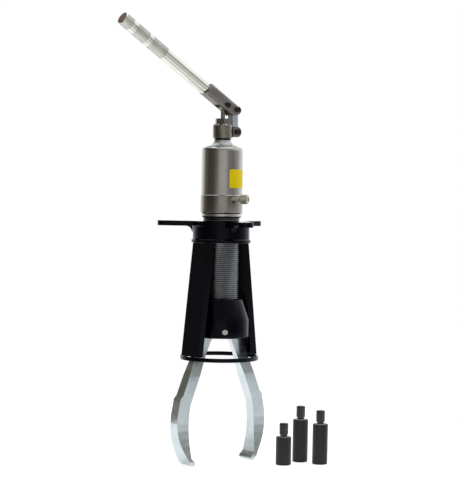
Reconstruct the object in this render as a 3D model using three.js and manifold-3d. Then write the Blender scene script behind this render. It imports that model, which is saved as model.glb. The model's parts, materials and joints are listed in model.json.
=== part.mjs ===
// A self-contained hydraulic two-jaw puller with a locking cage, and its three extension rods.
// Millimetres, +Z up the tool axis. The origin is the centre of the ram saddle's pressing face, ram in.
// The jaws lie in the XZ plane and the pump lever points towards -X.
import * as THREE from 'three';
import { mergeVertices } from 'three/addons/utils/BufferGeometryUtils.js';
import Module from 'manifold-3d';

const wasm = await Module();
wasm.setup();

// ---- driving dimensions ----
const GAP = 0.3;
const FINE = 32;
const MEDIUM = 20;
const SMALL = 12;

const STEM_R = 28.6;
const STEM_BORE_R = 15.3;
const STEM_TOP = 205.5;
const HEAD_BOTTOM = 1;
const HEAD_TOP = 60;
const HEAD_R = 45.3;
const HEAD_TOP_R = 35;
const HEAD_BORE_R = 13.2;
const SPIGOT_R = 24;
const SPIGOT_BOTTOM = 30.5;

const RAM_R = 11.7;
const SADDLE_R = 12.5;
const PISTON_R = 15;
const PISTON_BOTTOM = 168;
const PISTON_TOP = 186;

const SPANNER_FLAT_AZIMUTH = 55;

const JAW_PIVOT_X = 20.5;
const JAW_PIVOT_Z = 11;
const JAW_LOBE_R = 10.3;
const JAW_SLOT = 10.4;
const LOBE_FLAT_X = 14.2;
const JAW_NECK_HALF = 4.6;
const JAW_BLADE_HALF = 8.7;
const JAW_TOE_HALF = 15.5;
const BLADE_TOP = -20;
const BLADE_FULL = -65;
const FLARE_START = -125;
const TOE_TIP = [56, -190];
const TOE_ROOT = [62, -183.5];
const PIN_R = 4;
const PIN_END = 30;

const LOCK_RING_BOTTOM = 186;
const BASE_BOTTOM = 192.3;
const BASE_TOP = 220;
const BASE_R = 32.5;
const BARREL_R = 31.75;
const BARREL_BORE_R = 27.5;
const BARREL_TOP = 294.5;
const SHOULDER_R = 6;
const LABEL_AZIMUTH = -69;
const LABEL_SPAN = 76;
const LABEL_BOTTOM = 231.5;
const LABEL_HEIGHT = 28.5;
const NECK_TOP = 305;
const NECK_R = 13.2;

const PUMP_BOTTOM = NECK_TOP + 3;
const PUMP_TOP = 330;
const PUMP_R = 15.2;
const PLUNGER_R = 3.4;
const GLAND_TOP = 338;
const GLAND_R = 12.6;

const LEVER_PIN_Z = 358.5;
const LEVER_RISE = THREE.MathUtils.degToRad(31.5);
const FULCRUM_X = 19.5;
const FULCRUM_Z = 352.6;
const EAR_X = 20.4;
const EAR_Z = 318.1;
const EAR_R = 8;
const LEVER_PIN_R = 3;
const LINK_R = 5.4;
const LINK_THICKNESS = 11.4;
const CHEEK_IN = 6.1;
const CHEEK_OUT = 11;
const BRACKET_TOP = 12.4;
const BRACKET_BOTTOM = -6.8;
const BRACKET_CORNER_R = 5.5;
const BRACKET_END = 39.5;
const BAR_R = 10;
const BAR_RISE = 1.8;
const TANG_R = 6;
const TANG_START = 15;
const BAR_START = 43.5;
const BAR_END = 224.5;
const GRIP_BANDS = [170, 203.5];
const PLUG_R = 8.8;
const SET_SCREW_R = 3;

const COLLAR_BOTTOM = 147;
const COLLAR_TOP = 171.8;
const COLLAR_R = 44;
const FLANGE_R = 46;
const PLATE_BOTTOM = 172.4;
const PLATE_TOP = 180.2;
const ARM_LENGTH = 99.5;
const ARM_WIDTH = 25;
const ARM_AZIMUTHS = [16, 136, 256];
const NUT_R = 35.8;
const NUT_BOTTOM = 147.5;

const LEG_TOP = 146.7;
const LEG_BOTTOM = -27.5;
const LEG_TOP_X = 41;
const LEG_BOTTOM_X = 57.8;
const LEG_TOP_WIDTH = 36;
const LEG_BOTTOM_WIDTH = 43.5;
const LEG_TOP_DEPTH = 15;
const LEG_BOTTOM_DEPTH = 9;
const LEG_WALL = 3;
const CAGE_RING_R = 60.9;
const CAGE_RING_BORE_R = 57.7;
const CAGE_RING_HEIGHT = 6.3;

const VALVE_SEAT = [-2.7, -32.4, 214.5];
const VALVE_AZIMUTH = -56;
const VALVE_STEM_R = 3;
const FLOOR_Z = -196;
const ROD_R = 12;
const STUD_R = 7.3;
const STUD_LENGTH = 21;
const SHORT_ROD = 44;
const MEDIUM_ROD = 63;
const LONG_ROD = 67;

// ---- shape helpers ----
const vec = (x, y) => new THREE.Vector2(x, y);
const toShape = (points) => new THREE.Shape(points.map(([x, y]) => vec(x, y)));

// A solid turned about Z from a closed outline of [radius, height], listed anticlockwise.
function turned(outline, segments = FINE) {
  const loop = [...outline, outline[0]].map(([r, z]) => vec(r, z));
  return new THREE.LatheGeometry(loop, segments).rotateX(Math.PI / 2);
}

// A plain round bar or ring between two heights.
function ring(inner, outer, bottom, top, segments = FINE) {
  return turned([[inner, bottom], [outer, bottom], [outer, top], [inner, top]], segments);
}

function rod(radius, bottom, top, segments = MEDIUM) {
  return new THREE.CylinderGeometry(radius, radius, top - bottom, segments)
    .rotateX(Math.PI / 2)
    .translate(0, 0, (bottom + top) / 2);
}

// A round pin along Y through (x, z).
function crossPin(radius, x, z, from, to, segments = SMALL) {
  return new THREE.CylinderGeometry(radius, radius, to - from, segments).translate(x, (from + to) / 2, z);
}

function box(from, to) {
  const size = to.map((value, i) => value - from[i]);
  return new THREE.BoxGeometry(...size).translate(...from.map((value, i) => value + size[i] / 2));
}

// A shape drawn in the XZ plane, thickened along Y about y = 0.
function sideCut(shape, thickness, curveSegments = 6) {
  return new THREE.ExtrudeGeometry(shape, { depth: thickness, bevelEnabled: false, curveSegments })
    .rotateX(Math.PI / 2)
    .translate(0, thickness / 2, 0);
}

// A shape drawn in the YZ plane, thickened along +X from x = 0.
function frontCut(shape, thickness) {
  const axes = new THREE.Matrix4().makeBasis(
    new THREE.Vector3(0, 1, 0),
    new THREE.Vector3(0, 0, 1),
    new THREE.Vector3(1, 0, 0),
  );
  return new THREE.ExtrudeGeometry(shape, { depth: thickness, bevelEnabled: false }).applyMatrix4(axes);
}

function solid(geometry) {
  const plain = geometry.clone();
  plain.deleteAttribute('normal');
  plain.deleteAttribute('uv');
  const merged = mergeVertices(plain, 1e-4);
  const corners = [...merged.index.array];
  const faces = [];
  for (let i = 0; i < corners.length; i += 3) {
    const [a, b, c] = corners.slice(i, i + 3);
    if (a !== b && b !== c && c !== a) faces.push(a, b, c);
  }
  return new wasm.Manifold(new wasm.Mesh({
    numProp: 3,
    vertProperties: new Float32Array(merged.attributes.position.array),
    triVerts: new Uint32Array(faces),
  }));
}

function geometryOf(manifold) {
  const mesh = manifold.getMesh();
  const geometry = new THREE.BufferGeometry();
  geometry.setAttribute('position', new THREE.BufferAttribute(new Float32Array(mesh.vertProperties), 3));
  geometry.setIndex(new THREE.BufferAttribute(new Uint32Array(mesh.triVerts), 1));
  geometry.computeVertexNormals();
  return geometry;
}

function cut(body, ...tools) {
  return geometryOf(tools.reduce((left, tool) => left.subtract(solid(tool)), solid(body)));
}

function join(...parts) {
  return geometryOf(parts.slice(1).reduce((sum, part) => sum.add(solid(part)), solid(parts[0])));
}

function common(first, second) {
  return geometryOf(solid(first).intersect(solid(second)));
}

// ---- materials ----
function finish(color, roughness, metalness) {
  return new THREE.MeshStandardMaterial({ color, roughness, metalness });
}

const BLACK = finish(0x121318, 0.32, 0.2);
const GREY_COAT = finish(0x8d8a86, 0.45, 0.6);
const STEEL = finish(0xb4b6b8, 0.35, 0.9);
const ZINC = finish(0xc9d3da, 0.3, 0.9);
const LEVER_GREY = finish(0x8a8074, 0.5, 0.7);
const RUBBER = finish(0x0c0c0c, 0.7, 0);
const YELLOW = finish(0xf0c419, 0.5, 0);
const BROWN = finish(0x4a3327, 0.7, 0);
const OXIDE = finish(0x1b1c1e, 0.55, 0.4);

const puller = new THREE.Group();

function place(name, geometry, material, parent = puller) {
  const mesh = new THREE.Mesh(geometry, material);
  mesh.name = name;
  parent.add(mesh);
  return mesh;
}

// ---- jaw head: carries both jaw pins and screws onto the stem ----
function jawHead() {
  const body = turned([
    [HEAD_BORE_R, HEAD_BOTTOM],
    [HEAD_R - 1.5, HEAD_BOTTOM],
    [HEAD_R, HEAD_BOTTOM + 1.5],
    [HEAD_R, 28],
    [HEAD_TOP_R + 1, HEAD_TOP - 1],
    [HEAD_TOP_R, HEAD_TOP],
    [SPIGOT_R + GAP, HEAD_TOP],
    [SPIGOT_R + GAP, SPIGOT_BOTTOM - GAP],
    [HEAD_BORE_R, SPIGOT_BOTTOM - GAP],
  ]);
  const slot = sideCut(toShape([[10, -10], [60, -10], [60, 23], [10, 23]]), JAW_SLOT);
  const pinHole = crossPin(PIN_R + GAP, JAW_PIVOT_X, JAW_PIVOT_Z, -PIN_END - GAP, 60);
  // a shallow flat down the taper, for a spanner
  const taper = Math.atan2(HEAD_R - HEAD_TOP_R - 1, HEAD_TOP - 1 - 28);
  const flat = box([-0.7, -5.8, 10], [10, 5.8, 60])
    .rotateY(-taper)
    .translate(HEAD_R, 0, 28)
    .rotateZ(THREE.MathUtils.degToRad(SPANNER_FLAT_AZIMUTH));
  // the sides slope so that the cage legs slide past them
  const side = sideCut(toShape([[39.4, -6], [70, -6], [70, 66], [29.2, 66]]), 120);
  const tools = [slot, pinHole, side, flat];
  const mirrored = tools.map((tool) => tool.clone().rotateZ(Math.PI));
  return cut(body, ...tools, ...mirrored);
}

// The left jaw's pin, pressed into a blind hole from -Y until it lies just below the head's round surface.
function jawPin() {
  const reach = rod(HEAD_R - 0.6, HEAD_BOTTOM, HEAD_TOP, FINE);
  return common(crossPin(PIN_R, -JAW_PIVOT_X, JAW_PIVOT_Z, -HEAD_R, PIN_END), reach);
}

function headParts() {
  place('jaw_head', jawHead(), BLACK);
  place('jaw_pin_left', jawPin(), STEEL);
  place('jaw_pin_right', jawPin(), STEEL).rotation.z = Math.PI;
}

// ---- threaded stem with the hydraulic bore, its gland, wiper and return spring ----
function stemParts() {
  place('threaded_stem', turned([
    [STEM_BORE_R, SPIGOT_BOTTOM],
    [SPIGOT_R, SPIGOT_BOTTOM],
    [SPIGOT_R, HEAD_TOP + GAP],
    [STEM_R, HEAD_TOP + GAP],
    [STEM_R, STEM_TOP - 2],
    [STEM_R - 2, STEM_TOP],
    [STEM_BORE_R, STEM_TOP],
  ]), STEEL);
  place('rod_wiper', ring(RAM_R + GAP, STEM_BORE_R - GAP, 34, 38, MEDIUM), RUBBER);
  place('rod_gland', ring(RAM_R + GAP, STEM_BORE_R - GAP, 40, 56, MEDIUM), STEEL);
  place('return_spring', returnSpring(57.2, PISTON_BOTTOM - 1.2), STEEL);
}

function returnSpring(bottom, top) {
  const turns = 9;
  const stepsPerTurn = 9;
  const wire = 0.9;
  const points = [];
  for (let i = 0; i <= turns * stepsPerTurn; i += 1) {
    const angle = (i / stepsPerTurn) * 2 * Math.PI;
    const height = THREE.MathUtils.lerp(bottom + wire, top - wire, i / (turns * stepsPerTurn));
    points.push(new THREE.Vector3(13.4 * Math.cos(angle), 13.4 * Math.sin(angle), height));
  }
  const path = new THREE.CatmullRomCurve3(points);
  const section = new THREE.Shape();
  section.moveTo(wire, 0);
  section.lineTo(0, wire);
  section.lineTo(-wire, 0);
  section.lineTo(0, -wire);
  section.closePath();
  return new THREE.ExtrudeGeometry(section, { steps: turns * stepsPerTurn, extrudePath: path });
}

// ---- ram: rod with its piston, the seal and the saddle ----
function ramParts() {
  place('ram_saddle', turned([
    [0, 0],
    [SADDLE_R - 1, 0],
    [SADDLE_R, 1],
    [SADDLE_R, 8],
    [0, 8],
  ], MEDIUM), STEEL);
  place('ram_rod', turned([
    [0, 8 + GAP],
    [RAM_R, 8 + GAP],
    [RAM_R, PISTON_BOTTOM],
    [PISTON_R, PISTON_BOTTOM],
    [PISTON_R, 174],
    [12, 174],
    [12, 180],
    [PISTON_R, 180],
    [PISTON_R, PISTON_TOP],
    [0, PISTON_TOP],
  ], MEDIUM), STEEL);
  place('piston_seal', ring(12 + GAP, PISTON_R, 174 + GAP, 180 - GAP, MEDIUM), RUBBER);
}

// ---- cylinder: lock ring, base, barrel, bladder, feed tube, cap and label ----
function cylinderParts() {
  place('lock_ring', turned([
    [STEM_R + GAP, LOCK_RING_BOTTOM],
    [29.6, LOCK_RING_BOTTOM],
    [31.3, LOCK_RING_BOTTOM + 2],
    [31.3, BASE_BOTTOM - GAP],
    [STEM_R + GAP, BASE_BOTTOM - GAP],
  ]), STEEL);
  const base = turned([
    [STEM_R + GAP, BASE_BOTTOM],
    [BASE_R, BASE_BOTTOM],
    [BASE_R, BASE_TOP],
    [6, BASE_TOP],
    [6, STEM_TOP + GAP],
    [STEM_R + GAP, STEM_TOP + GAP],
  ]);
  const valvePort = rod(VALVE_STEM_R + GAP, -12, 20, SMALL)
    .rotateY(Math.PI / 2)
    .rotateZ(THREE.MathUtils.degToRad(VALVE_AZIMUTH))
    .translate(...VALVE_SEAT);
  place('cylinder_base', cut(base, valvePort), GREY_COAT);
  place('feed_tube', ring(2.5, 5.5, STEM_TOP + 1, 283, SMALL), STEEL);
  place('reservoir_bladder', ring(21, 24, 224, 280, MEDIUM), RUBBER);
  place('cylinder_barrel', cut(barrelBlank(), labelRecess()), GREY_COAT);
  place('cylinder_cap', turned([
    [3, 284],
    [10, 284],
    [10, BARREL_TOP + GAP],
    [24, BARREL_TOP + GAP],
    [24, BARREL_TOP + 1],
    [18, BARREL_TOP + 2.6],
    [NECK_R + 1, BARREL_TOP + 6],
    [NECK_R, BARREL_TOP + 8.5],
    [NECK_R, NECK_TOP],
    [8.5, NECK_TOP],
    [8.5, 309.6],
    [7.4, 309.6],
    [7.4, 311.4],
    [8.5, 311.4],
    [8.5, 313],
    [3, 313],
  ], MEDIUM), STEEL);
  place('swivel_snap_ring', ring(7.7, 10.4, 309.8, 311.2, SMALL), STEEL);
  place('label_plate', labelPlate(), YELLOW);
}

function barrelBlank() {
  const shoulder = [0, 22.5, 45, 67.5, 90].map((degrees) => {
    const angle = THREE.MathUtils.degToRad(degrees);
    return [BARREL_R - SHOULDER_R * (1 - Math.cos(angle)), BARREL_TOP - SHOULDER_R * (1 - Math.sin(angle))];
  });
  return turned([
    [BARREL_BORE_R, BASE_TOP + GAP],
    [BARREL_R, BASE_TOP + GAP],
    ...shoulder,
    [10.3, BARREL_TOP],
    [10.3, 284],
    [BARREL_BORE_R, 284],
  ]);
}

// The label is a thin curved plate let into the barrel's wall.
function arcPlate(inner, outer, span, bottom, top) {
  const half = THREE.MathUtils.degToRad(span / 2);
  const middle = THREE.MathUtils.degToRad(LABEL_AZIMUTH);
  const shape = new THREE.Shape();
  shape.absarc(0, 0, outer, middle - half, middle + half, false);
  shape.absarc(0, 0, inner, middle + half, middle - half, true);
  shape.closePath();
  return new THREE.ExtrudeGeometry(shape, { depth: top - bottom, bevelEnabled: false, curveSegments: 8 })
    .translate(0, 0, bottom);
}

function labelRecess() {
  const top = LABEL_BOTTOM + LABEL_HEIGHT;
  return arcPlate(BARREL_R - 1.1, BARREL_R + 3, LABEL_SPAN + 2, LABEL_BOTTOM - 0.6, top + 0.6);
}

function labelPlate() {
  return arcPlate(BARREL_R - 0.7, BARREL_R - 0.05, LABEL_SPAN, LABEL_BOTTOM, LABEL_BOTTOM + LABEL_HEIGHT);
}

// ---- cage: collar, two channel legs and the bottom ring ----
function legEnvelope(inset) {
  const lower = LEG_BOTTOM - (inset ? 5 : 0);
  const upper = LEG_TOP + (inset ? 5 : 0);
  const slope = (LEG_BOTTOM_X - LEG_TOP_X) / (LEG_TOP - LEG_BOTTOM);
  const outerAt = (z) => LEG_TOP_X + (LEG_TOP - z) * slope - inset;
  const depthAt = (z) => THREE.MathUtils.mapLinear(z, LEG_TOP, LEG_BOTTOM, LEG_TOP_DEPTH, LEG_BOTTOM_DEPTH);
  const widthAt = (z) => THREE.MathUtils.mapLinear(z, LEG_TOP, LEG_BOTTOM, LEG_TOP_WIDTH, LEG_BOTTOM_WIDTH);
  const innerAt = (z) => (inset ? 0 : outerAt(z) - depthAt(z));
  const side = toShape([
    [innerAt(lower), lower],
    [outerAt(lower), lower],
    [outerAt(upper), upper],
    [innerAt(upper), upper],
  ]);
  const front = toShape([
    [-widthAt(lower) / 2 + inset, lower],
    [widthAt(lower) / 2 - inset, lower],
    [widthAt(upper) / 2 - inset, upper],
    [-widthAt(upper) / 2 + inset, upper],
  ]);
  return common(sideCut(side, 90), frontCut(front, 90));
}

function cageLeg() {
  return cut(legEnvelope(0), legEnvelope(LEG_WALL));
}

function cageParts() {
  place('cage_collar', turned([
    [41.5, COLLAR_BOTTOM],
    [FLANGE_R, COLLAR_BOTTOM],
    [FLANGE_R, COLLAR_BOTTOM + 4.5],
    [COLLAR_R, COLLAR_BOTTOM + 5.5],
    [COLLAR_R, COLLAR_TOP - 1],
    [COLLAR_R - 1, COLLAR_TOP],
    [NUT_R + 0.4, COLLAR_TOP],
    [NUT_R + 0.4, 151.2],
    [41.5, 151.2],
  ]), BLACK);
  place('cage_leg_right', cageLeg(), BLACK);
  place('cage_leg_left', cageLeg(), BLACK).rotation.z = Math.PI;
  const top = LEG_BOTTOM - GAP;
  place('cage_ring', ring(CAGE_RING_BORE_R, CAGE_RING_R, top - CAGE_RING_HEIGHT, top), BLACK);
}

// ---- T-handle: plate with three arms, its threaded nut and the ring that holds the cage on it ----
function handlePlate() {
  const arms = ARM_AZIMUTHS.map((azimuth) => {
    const tip = ARM_LENGTH - ARM_WIDTH / 2;
    const shape = new THREE.Shape();
    shape.moveTo(0, -ARM_WIDTH / 2);
    shape.lineTo(tip, -ARM_WIDTH / 2);
    shape.absarc(tip, 0, ARM_WIDTH / 2, -Math.PI / 2, Math.PI / 2, false);
    shape.lineTo(0, ARM_WIDTH / 2);
    shape.closePath();
    const thickness = PLATE_TOP - PLATE_BOTTOM;
    return new THREE.ExtrudeGeometry(shape, { depth: thickness, bevelEnabled: false, curveSegments: 8 })
      .translate(0, 0, PLATE_BOTTOM)
      .rotateZ(THREE.MathUtils.degToRad(azimuth));
  });
  const disc = rod(COLLAR_R, PLATE_BOTTOM, PLATE_TOP, FINE);
  return cut(join(disc, ...arms), rod(STEM_R + GAP, 100, 200, FINE));
}

function handleParts() {
  place('t_handle_plate', handlePlate(), BLACK);
  place('t_handle_nut', turned([
    [STEM_R + GAP, NUT_BOTTOM],
    [NUT_R, NUT_BOTTOM],
    [NUT_R, 148.8],
    [34, 148.8],
    [34, 151.1],
    [NUT_R, 151.1],
    [NUT_R, PLATE_BOTTOM - GAP],
    [STEM_R + GAP, PLATE_BOTTOM - GAP],
  ]), STEEL);
  const gap = box([30, -3, 140], [50, 3, 160]);
  place('retaining_ring', cut(ring(34.3, 40.8, 149.1, 150.8, FINE), gap), STEEL);
}

// ---- jaws: a curved profile, thin at the pivot and wide at the toe ----
function jawOutline() {
  const shape = new THREE.Shape();
  const lobe = (degrees) => {
    const angle = THREE.MathUtils.degToRad(degrees);
    return [JAW_PIVOT_X + JAW_LOBE_R * Math.cos(angle), JAW_PIVOT_Z + JAW_LOBE_R * Math.sin(angle)];
  };
  const curve = (points) => shape.splineThru(points.map(([x, y]) => vec(x, y)));
  const flatAngle = Math.acos((LOBE_FLAT_X - JAW_PIVOT_X) / JAW_LOBE_R);
  // outer edge, from the lobe down to the stop shoulder, then round to the toe
  shape.moveTo(...lobe(20));
  shape.lineTo(43.5, -6);
  shape.lineTo(52, -28.5);
  shape.lineTo(64.6, -60);
  shape.lineTo(75.4, -86.5);
  shape.lineTo(80.2, -91.5);
  curve([[83, -104], [85.8, -119], [86.4, -135], [84.4, -150], [80.2, -163], [74.2, -175], [68.8, -184.5]]);
  curve([[65.6, -190.4], [61.6, -194.6], [58, FLOOR_Z]]);
  curve([[56.4, -195.2], [55.4, -193]]);
  // the flat pulling face of the toe, and the inner edge back up
  shape.lineTo(...TOE_TIP);
  shape.lineTo(...TOE_ROOT);
  curve([[63, -174], [64.2, -158], [64.4, -140], [63.6, -122], [61.2, -104], [56.5, -89]]);
  shape.lineTo(44.5, -60);
  shape.lineTo(29.5, -25);
  shape.lineTo(20.8, -6);
  shape.lineTo(LOBE_FLAT_X, 5.5);
  shape.lineTo(LOBE_FLAT_X, JAW_PIVOT_Z + JAW_LOBE_R * Math.sin(flatAngle));
  shape.absarc(JAW_PIVOT_X, JAW_PIVOT_Z, JAW_LOBE_R, flatAngle, (20 * Math.PI) / 180, true);
  return shape;
}

// The jaw seen from outside: narrow in the head's slot, an even blade below it, spreading at the toe.
function jawWidths() {
  const halfWidth = (z) => {
    const neck = THREE.MathUtils.smoothstep(z, BLADE_FULL, BLADE_TOP);
    const blade = THREE.MathUtils.lerp(JAW_BLADE_HALF, JAW_NECK_HALF, neck);
    const flare = THREE.MathUtils.clamp((FLARE_START - z) / (FLARE_START - TOE_TIP[1]), 0, 1);
    return blade + (JAW_TOE_HALF - JAW_BLADE_HALF) * flare ** 1.8;
  };
  const heights = [30];
  for (let z = HEAD_BOTTOM - 10; z > FLOOR_Z - 15; z -= 12) heights.push(z);
  const leftEdge = heights.map((z) => [-halfWidth(z), z]);
  const rightEdge = heights.map((z) => [halfWidth(z), z]).reverse();
  return toShape([...leftEdge, ...rightEdge]);
}

function jaw() {
  const body = common(sideCut(jawOutline(), 40, 3), frontCut(jawWidths(), 100));
  return cut(body, crossPin(PIN_R + GAP, JAW_PIVOT_X, JAW_PIVOT_Z, -20, 20));
}

function jawParts() {
  place('jaw_right', jaw(), ZINC);
  place('jaw_left', jaw(), ZINC).rotation.z = Math.PI;
}

// ---- pump body: swivels on the cylinder's neck ----
function pumpBody() {
  const barrel = turned([
    [8.8, PUMP_BOTTOM],
    [PUMP_R, PUMP_BOTTOM],
    [PUMP_R, PUMP_TOP - 2.5],
    [PUMP_R - 2.5, PUMP_TOP],
    [PLUNGER_R + GAP, PUMP_TOP],
    [PLUNGER_R + GAP, 316],
    [1.5, 316],
    [1.5, 313.6],
    [8.8, 313.6],
    [8.8, 311.7],
    [11, 311.7],
    [11, 309.3],
    [8.8, 309.3],
  ], MEDIUM);
  const ear = new THREE.Shape();
  ear.moveTo(12.5, EAR_Z - EAR_R);
  ear.lineTo(EAR_X, EAR_Z - EAR_R);
  ear.absarc(EAR_X, EAR_Z, EAR_R, -Math.PI / 2, Math.PI / 2, false);
  ear.lineTo(12.5, EAR_Z + EAR_R);
  ear.closePath();
  const fork = box([EAR_X - 7.4, -CHEEK_IN, 300], [40, CHEEK_IN, 340]);
  const hole = crossPin(LEVER_PIN_R + GAP, EAR_X, EAR_Z, -20, 20);
  return cut(join(barrel, sideCut(ear, 2 * CHEEK_OUT)), fork, hole);
}

// A socket-headed cross pin, its head on the -Y side.
function headedPin(x, z) {
  const shank = crossPin(LEVER_PIN_R, x, z, -CHEEK_OUT - 1, CHEEK_OUT);
  const head = crossPin(4.4, x, z, -CHEEK_OUT - 3.6, -CHEEK_OUT - GAP);
  const socket = new THREE.CylinderGeometry(2, 2, 3, 6).translate(x, -CHEEK_OUT - 3.6, z);
  return cut(join(shank, head), socket);
}

function pumpParts() {
  place('pump_body', pumpBody(), STEEL);
  place('swivel_o_ring', ring(9.2, PUMP_R - 2.2, NECK_TOP + GAP, PUMP_BOTTOM - GAP, MEDIUM), RUBBER);
  const nut = new THREE.CylinderGeometry(GLAND_R, GLAND_R, GLAND_TOP - PUMP_TOP - GAP, 6)
    .rotateX(Math.PI / 2)
    .translate(0, 0, (GLAND_TOP + PUMP_TOP + GAP) / 2);
  place('gland_nut', cut(nut, rod(PLUNGER_R + GAP, 320, 350, SMALL)), ZINC);
  place('link_pin', headedPin(EAR_X, EAR_Z), OXIDE);
}

// ---- plunger, fulcrum link and lever ----
function plungerParts() {
  const shank = rod(PLUNGER_R, PUMP_TOP - 1, LEVER_PIN_Z - 3, SMALL);
  const eye = crossPin(7.2, 0, LEVER_PIN_Z, -4.5, 4.5, 20);
  const hole = crossPin(LEVER_PIN_R + 1, 0, LEVER_PIN_Z, -20, 20, 20);
  place('pump_plunger', cut(join(shank, eye), hole), STEEL);
}

function linkParts() {
  const length = Math.hypot(EAR_X - FULCRUM_X, EAR_Z - FULCRUM_Z);
  const shape = new THREE.Shape();
  shape.absarc(0, 0, LINK_R, Math.PI, 2 * Math.PI, false);
  shape.absarc(0, length, LINK_R, 0, Math.PI, false);
  shape.closePath();
  const lean = Math.atan2(EAR_X - FULCRUM_X, FULCRUM_Z - EAR_Z);
  const plate = sideCut(shape, LINK_THICKNESS, 8).rotateY(-lean).translate(EAR_X, 0, EAR_Z);
  const lower = crossPin(LEVER_PIN_R + GAP, EAR_X, EAR_Z, -20, 20);
  const upper = crossPin(LEVER_PIN_R + GAP, FULCRUM_X, FULCRUM_Z, -20, 20);
  place('fulcrum_link', cut(plate, lower, upper), STEEL);
}

// Lever coordinates: u runs from the plunger pin along the bar, v is square to it and upwards.
const fulcrumU = -FULCRUM_X * Math.cos(LEVER_RISE) + (FULCRUM_Z - LEVER_PIN_Z) * Math.sin(LEVER_RISE);
const fulcrumV = FULCRUM_X * Math.sin(LEVER_RISE) + (FULCRUM_Z - LEVER_PIN_Z) * Math.cos(LEVER_RISE);

// The bracket's rounded section, along the whole lever.
function bracketSection() {
  const shape = new THREE.Shape();
  const half = CHEEK_OUT - BRACKET_CORNER_R;
  const upper = BRACKET_TOP - BRACKET_CORNER_R;
  const lower = BRACKET_BOTTOM + BRACKET_CORNER_R;
  shape.absarc(half, upper, BRACKET_CORNER_R, 0, Math.PI / 2, false);
  shape.absarc(-half, upper, BRACKET_CORNER_R, Math.PI / 2, Math.PI, false);
  shape.absarc(-half, lower, BRACKET_CORNER_R, Math.PI, 1.5 * Math.PI, false);
  shape.absarc(half, lower, BRACKET_CORNER_R, 1.5 * Math.PI, 2 * Math.PI, false);
  shape.closePath();
  return frontCut(shape, 120).translate(-80, 0, 0);
}

// Lays a piece turned about Z along the bar's axis, its upper end towards the end of the handle.
function alongBar(geometry) {
  return geometry.rotateY(-Math.PI / 2).translate(0, 0, BAR_RISE);
}

function leverBracket() {
  const outline = new THREE.Shape();
  outline.moveTo(0, BRACKET_BOTTOM - 1);
  outline.lineTo(-fulcrumU, BRACKET_BOTTOM - 1);
  outline.absarc(-fulcrumU, fulcrumV, EAR_R, -Math.PI / 2, 0, false);
  outline.lineTo(-fulcrumU + EAR_R, fulcrumV + 2);
  outline.quadraticCurveTo(-fulcrumU + EAR_R, BRACKET_TOP, -fulcrumU, BRACKET_TOP + 1);
  outline.lineTo(-BRACKET_END, BRACKET_TOP + 1);
  outline.lineTo(-BRACKET_END - 3.5, BRACKET_BOTTOM - 1);
  outline.closePath();
  const block = common(sideCut(outline, 2 * CHEEK_OUT, 8), bracketSection());
  const slot = box([-12, -CHEEK_IN, -40], [60, CHEEK_IN, fulcrumV + LINK_R + 0.5]);
  const socket = alongBar(rod(TANG_R + GAP, TANG_START - GAP, 80, MEDIUM));
  const plungerHole = crossPin(LEVER_PIN_R + GAP, 0, 0, -30, 30);
  const fulcrumHole = crossPin(LEVER_PIN_R + GAP, -fulcrumU, fulcrumV, -30, 30);
  const screwHole = rod(SET_SCREW_R + GAP, 5, 20, SMALL).translate(-30, 0, 0);
  return cut(block, slot, socket, plungerHole, fulcrumHole, screwHole);
}

// The bar: a tang in the bracket, a round body, two smooth bands let into the grip and a bore for the plug.
function leverBar() {
  const tang = alongBar(rod(TANG_R, TANG_START, BAR_START + 5, MEDIUM));
  const body = alongBar(rod(BAR_R, BAR_START, BAR_END, FINE));
  const bands = GRIP_BANDS.map((u) => alongBar(ring(BAR_R - 0.5, BAR_R + 5, u - 4, u + 4)));
  const plugBore = alongBar(rod(PLUG_R + GAP, BAR_END - 6, BAR_END + 20, MEDIUM));
  return cut(join(body, tang), ...bands, plugBore);
}

function leverParts() {
  const lever = new THREE.Group();
  lever.position.set(0, 0, LEVER_PIN_Z);
  lever.rotation.y = LEVER_RISE;
  puller.add(lever);
  place('lever_bracket', leverBracket(), LEVER_GREY, lever);
  place('lever_bar', leverBar(), STEEL, lever);
  place('end_plug', alongBar(rod(PLUG_R, BAR_END - 5.6, BAR_END + 0.3, MEDIUM)), BROWN, lever);
  place('plunger_pin', headedPin(0, 0), OXIDE, lever);
  place('fulcrum_pin', headedPin(-fulcrumU, fulcrumV), OXIDE, lever);
  const screw = rod(SET_SCREW_R, BAR_RISE + TANG_R + GAP, BRACKET_TOP + 0.8, SMALL).translate(-30, 0, 0);
  place('bar_set_screw', screw, OXIDE, lever);
}

// ---- release valve: a screw in the cylinder base with a knurled knob ----
function valveParts() {
  const valve = new THREE.Group();
  valve.position.set(...VALVE_SEAT);
  valve.rotation.z = THREE.MathUtils.degToRad(VALVE_AZIMUTH);
  puller.add(valve);
  const lay = (geometry) => geometry.rotateY(Math.PI / 2);
  place('valve_stem', lay(rod(VALVE_STEM_R, -10, 22, SMALL)), STEEL, valve);
  const knob = turned([
    [VALVE_STEM_R + GAP, 11],
    [6, 11],
    [7.2, 12.2],
    [7.2, 22.8],
    [6, 24],
    [VALVE_STEM_R + GAP, 24],
  ], MEDIUM);
  place('valve_knob', lay(knob), STEEL, valve);
}

// ---- extension rods, standing on their flat ends ----
function extensionRod(body) {
  const top = body + STUD_LENGTH;
  return turned([
    [0, 0],
    [ROD_R - 1, 0],
    [ROD_R, 1],
    [ROD_R, body - 1],
    [ROD_R - 1, body],
    [STUD_R - 1.7, body],
    [STUD_R - 1.7, body + 3],
    [STUD_R, body + 4.2],
    [STUD_R, top - 1.5],
    [STUD_R - 1.3, top],
    [0, top],
  ], MEDIUM);
}

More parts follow.
